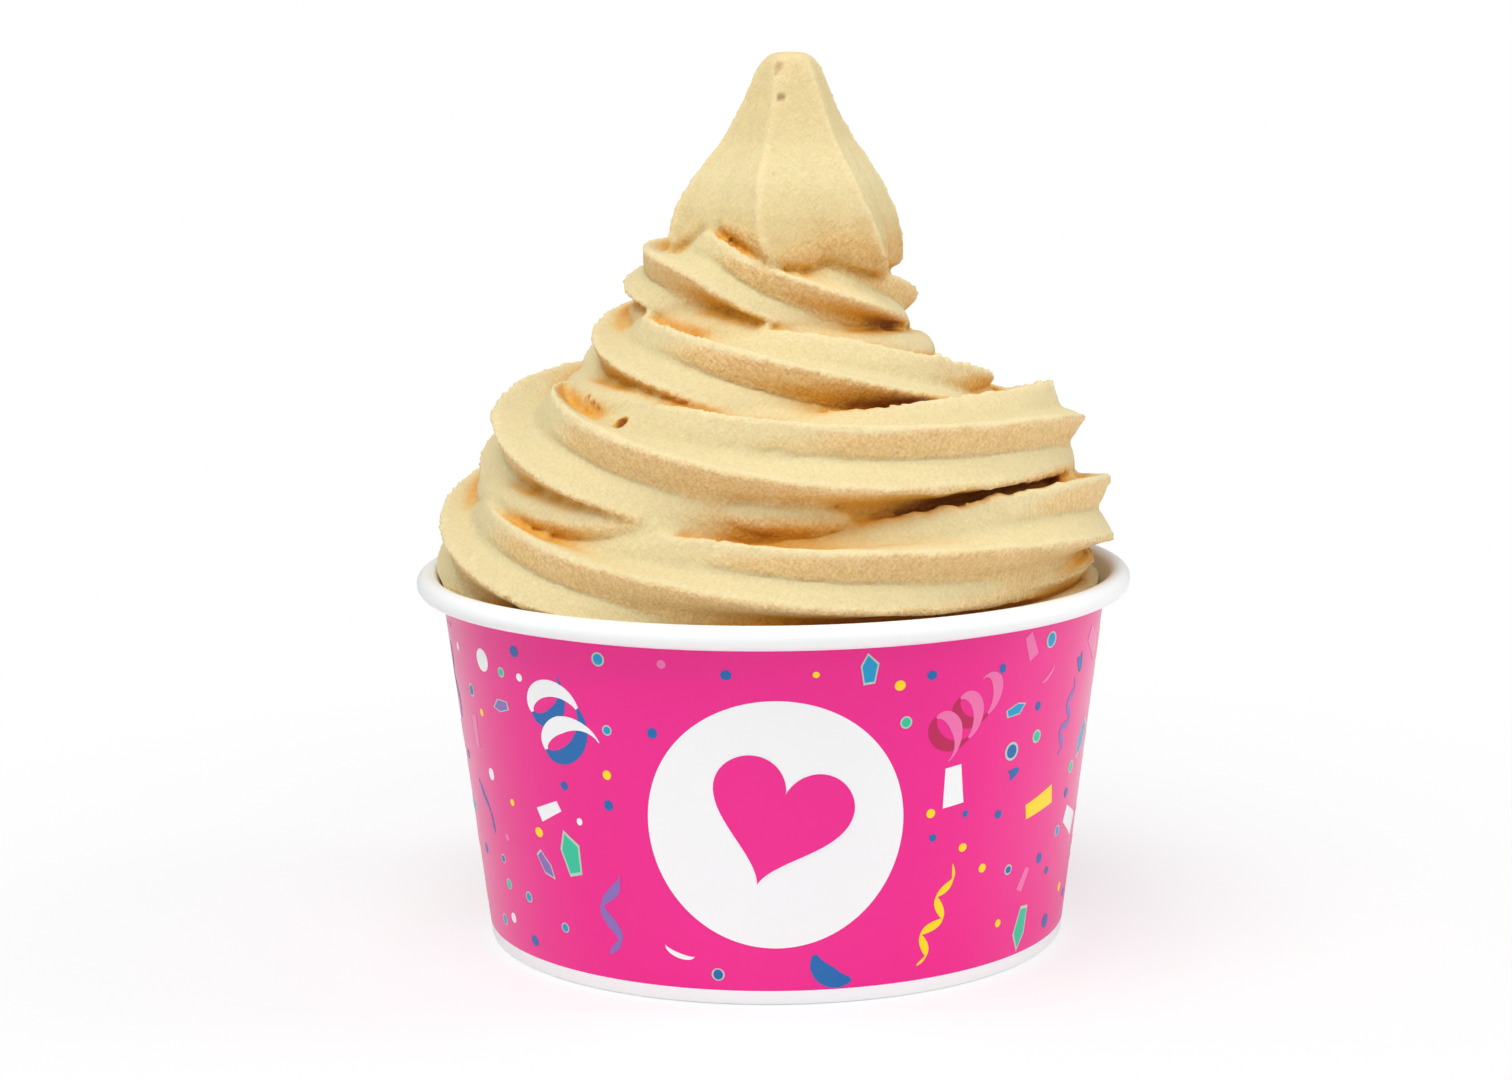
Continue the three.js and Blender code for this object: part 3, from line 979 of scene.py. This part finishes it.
def turns_until(last, per_turn):
    steps = round((last - FIRST_TURN) * per_turn)
    return (FIRST_TURN + np.arange(steps + 1) / per_turn)[:, None]


def angles(count):
    return np.arange(count)[None, :] * (2 * math.pi / count)


def wound(turn, out, up):
    """Rings of points from their distances off the axis and their heights at every turn."""
    around = FRONT - 2 * math.pi * turn
    return np.stack([out * np.cos(around), out * np.sin(around), up], axis=2)


def rope_rings(per_turn, per_flute):
    """The rope's rings from its start inside the cup to its tucked end under the peak."""
    turn = turns_until(LAST_TURN, per_turn)
    twist = TWIST_PER_TURN * turn + column("twist", turn) - math.pi / FLUTES
    local = angles(FLUTES * per_flute)
    reach = column("thick", turn) * tucked(turn) * flute(local, FLUTE_DEPTH)
    out = column("radius", turn) * tucked(turn) + reach * np.cos(local + twist)
    up = column("height", turn) + column("stretch", turn) * reach * np.sin(local + twist)
    return wound(turn, out, up)


def crease_rings(per_turn, sides):
    """The round filling of the crease between each coil and the next one up."""
    turn = turns_until(LAST_TURN - 1, per_turn)
    below, above = column("radius", turn), column("radius", turn + 1) * tucked(turn + 1)
    thick = (column("thick", turn) + column("thick", turn + 1) * tucked(turn + 1)) / 2
    low, high = column("height", turn), column("height", turn + 1)
    fill = np.interp(turn, *np.transpose(CREASE_FILLS))
    shift = fill * thick / np.hypot(high - low, below - above)
    local = angles(sides)
    out = (below + above) / 2 + shift * (high - low) + CREASE_THICK * thick * np.cos(local)
    up = (low + high) / 2 + shift * (below - above) + CREASE_THICK * thick * np.sin(local)
    return wound(turn, out, up)


def peak_rings(count, per_flute):
    """The peak's rings from its arched foot to its rounded tip."""
    share = (0.5 - 0.5 * np.cos(np.linspace(0, math.pi, count)))[:, None]
    radius = np.interp(share, *np.transpose(PEAK_OUTLINE))
    height = PEAK_FOOT + (PEAK_TIP - PEAK_FOOT) * share
    twist = PEAK_RIDGE - PEAK_TWIST * (1 - (1 - share) ** 4)
    slant = PEAK_SLANT * np.maximum(0, 1 - PEAK_SLANT_FADE * share)
    flare = np.maximum(0, 1 - share / PEAK_FLARE_SHARE) ** 2
    local = angles(FLUTES * per_flute)
    seam = PEAK_SEAM * np.maximum(0, 1 - off_crest(local) / PEAK_SEAM_WIDTH)
    fluted = np.clip((1 - share) / PEAK_TIP_ROUND, PEAK_TIP_FLUTED, 1)
    reach = radius * (flute(local, fluted * (PEAK_FLUTE_DEPTH + PEAK_FOOT_FLARE * flare)) + fluted * seam)
    x = reach * np.cos(local + twist)
    y = reach * np.sin(local + twist)
    away = local + twist - PEAK_ARCH_AT
    off = np.arctan2(np.sin(away), np.cos(away)) / PEAK_ARCH_WIDTH
    up = PEAK_ARCH * flare * np.maximum(0, 1 - off * off) - slant * x
    return np.stack([PEAK_SHIFT + PEAK_TIP_SHIFT * share + x, y - PEAK_FORWARD, height + up], axis=2)


# The core of the swirl and the filling of the cup: radius and height of their outlines.
HEART_OF_SWIRL = (
    (44.0, 50.0), (50.2, 59.5), (44.0, 66.0), (38.0, 74.0), (22.0, 86.0), (15.0, 99.0), (13.0, 106.0), (1.0, 112.0),
)
CUP_FILLING = (
    wall_point(5.1, FOOT_THICKNESS + FILLING_GAP),
    (wall_radius(8.0) - FOOT_THICKNESS - FILLING_GAP, 8.1),
    wall_point(9.5, WALL_THICKNESS + FILLING_GAP),
    wall_point(PLUG_TOP, WALL_THICKNESS + FILLING_GAP),
)


def clearance_profile():
    """The space of the wall and its rim, with the gap kept round it, out past the rim."""
    inner = [wall_point(z, WALL_THICKNESS + RIM_CLEARANCE) for z in (0.0, BEAD_MIDDLE)]
    over = bead_arc(RIM_BEAD / 2 + RIM_CLEARANCE, 0.95, 0.05, 16)
    past = RIM_RADIUS + RIM_CLEARANCE + 6
    return inner + over + [(past, BEAD_MIDDLE), (past, 0.0)]


SEAM_WIDTH = 0.65
SEAM_DEPTH = 0.55
PEAK_LIGHTEST = 119.0
PEAK_DARKEST = 107.0
PEAK_TOP_FROM = 121.0
PEAK_TOP_REACH = 6.0
PEAK_TOP_SHADE = 0.35
FAR = 99.0
RAYS, QUICK_RAYS = 20, 8
KEEN_SPAN = (-0.3, 0.6)
REACH = 16


def neighbour_mean(values, edges, rounds=1):
    """Mean of each point's neighbours, taken some times over."""
    values = np.asarray(values, dtype=float)
    number = np.bincount(edges.ravel(), minlength=len(values))
    for _ in range(rounds):
        wide = values.reshape(len(values), -1)
        total = np.zeros_like(wide)
        for near, far in (edges.T, edges.T[::-1]):
            for k in range(wide.shape[1]):
                total[:, k] += np.bincount(near, wide[far, k], minlength=len(values))
        values = (total / np.maximum(number, 1)[:, None]).reshape(values.shape)
    return values


def stand_out(obj, edges, rounds):
    """How far each point stands out of its smoothed surroundings, in millimetres."""
    points = points_of(obj)
    smooth = neighbour_mean(points, edges, rounds)
    return np.einsum("ij,ij->i", points - smooth, normals_of(obj)) / MM


def push(obj, amounts):
    set_points(obj, points_of(obj) + normals_of(obj) * amounts[:, None])


def sharpen_ridges(swirl, keenness):
    """Gives back the keen ridges and creases that the smoothing took."""
    stand = stand_out(swirl, edges_of(swirl), 4)
    push(swirl, keenness * np.clip(stand, *KEEN_SPAN) * MM)


# Soft lumps between the coils: place across and down the frame, slope to the right in degrees, half length,
# half width, half depth and how far the middle lies under the surface.
LUMPS = ((786, 519, 3, 9.5, 3.2, 2.4, 1.0),)

# Where the edge of a ridge is most torn: place across and down the frame and radius.
TORN = (
    (850, 520, 4.0), (895, 515, 4.0), (940, 511, 4.0), (985, 507, 3.5), (875, 336, 3.5), (560, 385, 3.0),
    (790, 284, 3.0),
)

# Steps of the broad, middle and fine unevenness and of the torn patches, by their seeds.
RELIEF_NOISES = {1: 9, 2: 3.2, 3: 1.5, 4: 16}

# Small pits and torn pockets: place across and down the frame, radius, depth and darkness of the painted shade in
# the pit.
PITS = (
    (621, 423, 0.85, 3.4, 1.0), (587, 398, 0.7, 0.9, 0.6), (592, 404, 0.6, 0.9, 0.6),
    (597, 409, 0.5, 0.7, 0.6), (778, 66, 0.8, 0.5, 0.3), (776, 72, 0.6, 0.4, 0.3),
    (781, 97, 0.5, 0.6, 0.6), (908, 326, 0.7, 0.8, 0.4),
)


def noise_at(points, step, seed):
    shift = Vector((seed * 17.3, seed * 5.1, seed * 9.7))
    return np.array([noise.noise(Vector(p) / step + shift) for p in points])


def tree_of(obj):
    return BVHTree.FromObject(obj, bpy.context.evaluated_depsgraph_get())


def gaps_from(points, spot, radius):
    """Distance of each point from a spot, as a multiple of a radius in millimetres."""
    return np.linalg.norm(points - np.array(spot), axis=1) / (radius * MM)


def add_relief(swirl, settings):
    """Soft unevenness all over and ragged, torn edges along parts of the ridges."""
    points = points_of(swirl)
    ridge = clamp(stand_out(swirl, edges_of(swirl), 6) / 0.35)
    broad, middle, fine, patches = (noise_at(points, step * MM, seed) for seed, step in RELIEF_NOISES.items())
    torn = clamp(patches * 2.2 + 0.25)
    tree = tree_of(swirl)
    for across, down, radius in TORN:
        torn += 0.5 * clamp(1.5 - gaps_from(points, hit(tree, across, down)[0], radius))
    torn *= 1 - 0.8 * clamp((points[:, 2] / MM - PEAK_FOOT) / 4)
    move = settings.unevenness * (0.6 * broad + 0.35 * middle + 0.18 * fine)
    push(swirl, move + settings.raggedness * ridge * torn * (0.5 * middle + 0.9 * fine))


def hit(tree, across, down):
    """The point of the swirl seen at a place of the frame, its normal and the direction of sight."""
    sight = CAMERA_TURN @ Vector((across - MIDDLE_COLUMN, FRAME_HEIGHT / 2 - down, -FOCAL))
    spot, normal, _, _ = tree.ray_cast(CAMERA_PLACE, sight)
    if spot is None:
        raise RuntimeError(f"The swirl isn't seen at {across}, {down}")
    return spot, normal, sight.normalized()


def add_lumps(swirl):
    tree = tree_of(swirl)
    lumps = [swirl]
    sphere = bpy.ops.mesh.primitive_uv_sphere_add
    for number, (across, down, slope, length, width, depth, inset) in enumerate(LUMPS):
        spot, _, _ = hit(tree, across, down)
        lump = primitive(f"lump_{number}", sphere, segments=48, ring_count=24, radius=MM)
        lay = Matrix.Rotation(math.atan2(spot.x, -spot.y), 4, "Z")
        lay = lay @ Matrix.Rotation(math.radians(slope), 4, "Y") @ Matrix.Diagonal((length, depth, width, 1))
        inward = Vector((-spot.x, -spot.y, 0)).normalized()
        lump.data.transform(Matrix.Translation(spot + inward * inset * MM) @ lay)
        lumps.append(lump)
    return join("yogurt_swirl", lumps)


def dig_pits(swirl):
    """Presses small ragged holes into the swirl where each line of sight meets it."""
    tree = tree_of(swirl)
    points = points_of(swirl)
    move = np.zeros_like(points)
    spots = []
    for across, down, radius, depth, darkness in PITS:
        spot, normal, direction = hit(tree, across, down)
        spots.append((spot, radius, darkness))
        gap = gaps_from(points, spot, radius)
        near = np.nonzero(gap < 1.6)[0]
        edge = 1 + 0.35 * noise_at(points[near], 0.9 * MM, 7)
        share = clamp(1 - gap[near] / 1.2 * edge)
        inward = np.array(direction) - 0.6 * np.array(normal)
        inward /= np.linalg.norm(inward)
        move[near] += depth * MM * np.minimum(share * 1.8, 1)[:, None] * inward
    set_points(swirl, points + move)
    return spots


def pit_measure(swirl, spots):
    """How much painted shade a pit puts on each point, from 0 to 1."""
    points = points_of(swirl)
    measure = np.zeros(len(points))
    for spot, radius, darkness in spots:
        measure = np.maximum(measure, darkness * clamp(1.5 - gaps_from(points, spot, radius)))
    return measure


def gaps_to(swirl, trees):
    """Distance in millimetres from each point beside the peak to each surface, and far for all other points."""
    points = points_of(swirl)
    gaps = np.full((len(points), len(trees)), FAR)
    for i in np.nonzero(points[:, 2] > (PEAK_FOOT - 5) * MM)[0]:
        gaps[i] = [tree.find_nearest(points[i])[3] / MM for tree in trees]
    return gaps


def seam_measure(gaps):
    """How near each point is to the line where the peak meets the coils, from 0 to 1."""
    return clamp(1 - gaps.max(axis=1) / SEAM_WIDTH)


def peak_shade(swirl, gaps):
    """The soft darkening of the peak from its light middle to its foot and, weaker, to its tip."""
    height = points_of(swirl)[:, 2] / MM
    low = clamp((PEAK_LIGHTEST - height) / (PEAK_LIGHTEST - PEAK_DARKEST))
    high = PEAK_TOP_SHADE * clamp((height - PEAK_TOP_FROM) / PEAK_TOP_REACH)
    return (low + high) * clamp(1.6 - gaps[:, 0] / 0.6)


def shelter_measure(obj, rays, reach):
    """How closed in each point is, from 0 in the open to 1 deep between the coils."""
    tree = tree_of(obj)
    points = points_of(obj)
    normals = normals_of(obj)
    seen = np.nonzero(points[:, 2] > (PLUG_TOP - 1) * MM)[0]
    tangent = np.cross(normals, (0.31, 0.17, 0.94))
    tangent /= np.linalg.norm(tangent, axis=1)[:, None] + TINY
    side = np.cross(normals, tangent)
    starts = points + normals * 0.15 * MM
    closed = np.zeros(len(points))
    for k in range(rays):
        rise = math.sqrt((k + 0.5) / rays)
        lean = math.sqrt(1 - rise * rise)
        turn = GOLDEN_ANGLE * k
        ways = tangent * (lean * math.cos(turn)) + side * (lean * math.sin(turn)) + normals * rise
        for i in seen:
            distance = tree.ray_cast(starts[i], ways[i], reach)[3]
            if distance is not None:
                closed[i] += 1 - distance / reach
    return closed / rays


def store(obj, **measures):
    """Keeps measures of the points where the material finds them."""
    for name, values in measures.items():
        layer = obj.data.attributes.new(name, "FLOAT", "POINT")
        layer.data.foreach_set("value", np.asarray(values, dtype=np.float32))


class YOGURTCUP_OT_yogurt(Operator):
    """Lay the fluted rope of yogurt, set its peak on it and finish its surface"""

    bl_idname = "yogurtcup.yogurt"
    bl_label = "Yogurt Swirl"

    def execute(self, context):
        settings = context.scene.yogurtcup_swirl
        rope = skin("rope", rope_rings(110, 12))
        peak = skin("peak", peak_rings(80, 30))
        crease = skin("crease", crease_rings(90, 24))
        core = turned("core", HEART_OF_SWIRL, 96, hollow=False)
        trees = [tree_of(piece) for piece in (peak, rope)]
        swirl = add_lumps(join("yogurt_swirl", [core, rope, crease, peak]))
        voxel = settings.voxel * 1
        apply_modifier(swirl, "REMESH", mode="VOXEL", voxel_size=voxel, use_smooth_shade=True)
        apply_modifier(swirl, "SMOOTH", factor=0.5, iterations=1)
        sharpen_ridges(swirl, settings.keenness)
        add_relief(swirl, settings)
        push(swirl, -SEAM_DEPTH * MM * seam_measure(gaps_to(swirl, trees)))
        pits = dig_pits(swirl)
        filling = turned("filling", CUP_FILLING, WALL_SIDES // 2, hollow=False)
        space = turned("clearance", clearance_profile(), WALL_SIDES // 2, hollow=True)
        for helper, operation in ((filling, "UNION"), (space, "DIFFERENCE")):
            apply_modifier(swirl, "BOOLEAN", operation=operation, object=helper, solver="MANIFOLD")
            bpy.data.objects.remove(helper)
        points = points_of(swirl)
        points[:, 2] = np.minimum(points[:, 2], PEAK_TIP * MM)
        set_points(swirl, points)
        edges = edges_of(swirl)
        gaps = gaps_to(swirl, trees)
        shelter = neighbour_mean(shelter_measure(swirl, RAYS, REACH * MM), edges, 3)
        stand = neighbour_mean(stand_out(swirl, edges, 5), edges, 2)
        # These measures place the painted shade and the painted highlight of the yogurt; under also sets the
        # strength of the grain.
        store(
            swirl,
            under=neighbour_mean(clamp(0.5 - 0.9 * normals_of(swirl)[:, 2]), edges, 4),
            shelter=clamp(shelter * 1.4),
            ridge=clamp(stand / 0.3),
            pit=pit_measure(swirl, pits),
            seam=neighbour_mean(seam_measure(gaps), edges),
            shade=neighbour_mean(peak_shade(swirl, gaps), edges),
        )
        swirl.data.materials.clear()
        swirl.data.materials.append(yogurt_material(settings))
        only(swirl)
        bpy.ops.object.shade_smooth()
        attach(swirl, "root")
        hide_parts("frozen_yogurt")
        return {"FINISHED"}


# ---- Stage ----

LIGHT_AIM = Vector((0, 0, 0.07))
# Size, place and colour of each light.
LIGHTS = {
    "key": ((0.7, 0.6), (-0.18, -0.30, 0.85), (1.0, 0.985, 0.95)),
    "fill": ((1.0, 0.7), (0.1, -1.0, 0.72), WHITE),
    "left": ((0.25, 0.9), (-0.75, 0.05, 0.35), WHITE),
    "right": ((0.25, 0.9), (0.78, 0.04, 0.40), (1.0, 0.98, 0.96)),
}


def on_stage(name, data):
    obj = bpy.data.objects.new(name, data)
    bpy.context.scene.collection.objects.link(obj)
    return obj


def area_light(name, power, size, place, colour):
    light = bpy.data.lights.new(name, "AREA")
    light.energy = power
    light.shape = "RECTANGLE"
    light.size, light.size_y = size
    light.color = colour
    lamp = on_stage(name, light)
    lamp.location = place
    lamp.rotation_euler = (LIGHT_AIM - Vector(place)).to_track_quat("-Z", "Y").to_euler()


def build_camera(scene):
    view = bpy.data.cameras.new("front_view")
    view.sensor_fit = "HORIZONTAL"
    view.sensor_width = SENSOR
    view.lens = FOCAL / FRAME_WIDTH * SENSOR
    view.shift_x = (FRAME_WIDTH / 2 - MIDDLE_COLUMN) / FRAME_WIDTH
    view.clip_start = 0.01
    scene.camera = on_stage("front_view", view)
    scene.camera.matrix_world = Matrix.Translation(CAMERA_PLACE) @ CAMERA_TURN


def build_world(scene):
    """White all round: bright where it is seen and softer as a light."""
    world = bpy.data.worlds.new("white_room")
    scene.world = world
    world.use_nodes = True
    nodes = Nodes(world.node_tree)
    seen = nodes.put(nodes.add("ShaderNodeBackground"), Color=WHITE, Strength=1.0)
    lit = nodes.put(nodes.add("ShaderNodeBackground"), Color=(0.97, 0.985, 1.0), Strength=0.30)
    nodes.put(nodes.add("ShaderNodeOutputWorld"), Surface=nodes.when_seen(1.0, lit, seen))


def floor_material(settings):
    """Pale and matte round the cup, and out into the white of the room further away."""
    material, nodes, shader, output = new_material("Pale Floor")
    nodes.put(shader, Base_Color=settings.floor, Roughness=0.6)
    away = nodes.add("ShaderNodeVectorMath", operation="LENGTH")
    nodes.feed(away.inputs[0], nodes.place())
    share = nodes.span(away.outputs["Value"], 0.04, 0.22, 0.62, 1.0, smooth=True)
    glow = nodes.put(nodes.add("ShaderNodeEmission"), Color=WHITE)
    nodes.put(output, Surface=nodes.when_seen(share, shader, glow))
    return material


class YOGURTCUP_OT_stage(Operator):
    """Set the pale floor, the soft lights and the camera"""

    bl_idname = "yogurtcup.stage"
    bl_label = "Stage"

    def execute(self, context):
        scene = context.scene
        settings = scene.yogurtcup_stage
        floor = primitive("floor", bpy.ops.mesh.primitive_plane_add, size=6, location=(0, 0, -0.0001))
        floor.data.materials.append(floor_material(settings))
        for name, row in LIGHTS.items():
            area_light(name + "_light", getattr(settings, name), *row)
        build_world(scene)
        build_camera(scene)
        scene.view_settings.view_transform = "Standard"
        return {"FINISHED"}


# ---- Panel and registration ----


class YOGURTCUP_PT_panel(Panel):
    """Lists the steps that build the cup and their settings"""

    bl_idname = "YOGURTCUP_PT_panel"
    bl_label = "Frozen Yogurt Cup"
    bl_space_type = "VIEW_3D"
    bl_region_type = "UI"
    bl_category = "Yogurt Cup"

    def draw(self, context):
        for settings, (_, *steps) in LAYOUT.items():
            box = self.layout.box()
            group = getattr(context.scene, settings)
            for name in group.bl_rna.properties.keys():
                if name not in ("rna_type", "name"):
                    box.prop(group, name)
            for step in steps:
                box.operator(step.bl_idname)


LAYOUT = {
    "yogurtcup_paper": (YogurtCupPaper, YOGURTCUP_OT_wall, YOGURTCUP_OT_bottom),
    "yogurtcup_print": (YogurtCupPrint, YOGURTCUP_OT_confetti),
    "yogurtcup_swirl": (YogurtCupSwirl, YOGURTCUP_OT_yogurt),
    "yogurtcup_stage": (YogurtCupStage, YOGURTCUP_OT_stage),
}
CLASSES = [item for items in LAYOUT.values() for item in items] + [YOGURTCUP_PT_panel]


def register():
    for item in CLASSES:
        bpy.utils.register_class(item)
    for name, (group, *_) in LAYOUT.items():
        setattr(bpy.types.Scene, name, PointerProperty(type=group))


def unregister():
    for name in LAYOUT:
        delattr(bpy.types.Scene, name)
    for item in reversed(CLASSES):
        bpy.utils.unregister_class(item)


def main():
    register()
    bpy.ops.yogurtcup.wall()
    bpy.ops.yogurtcup.bottom()
    bpy.ops.yogurtcup.confetti()
    bpy.ops.yogurtcup.yogurt()
    bpy.ops.yogurtcup.stage()


if __name__ == "__main__":
    main()
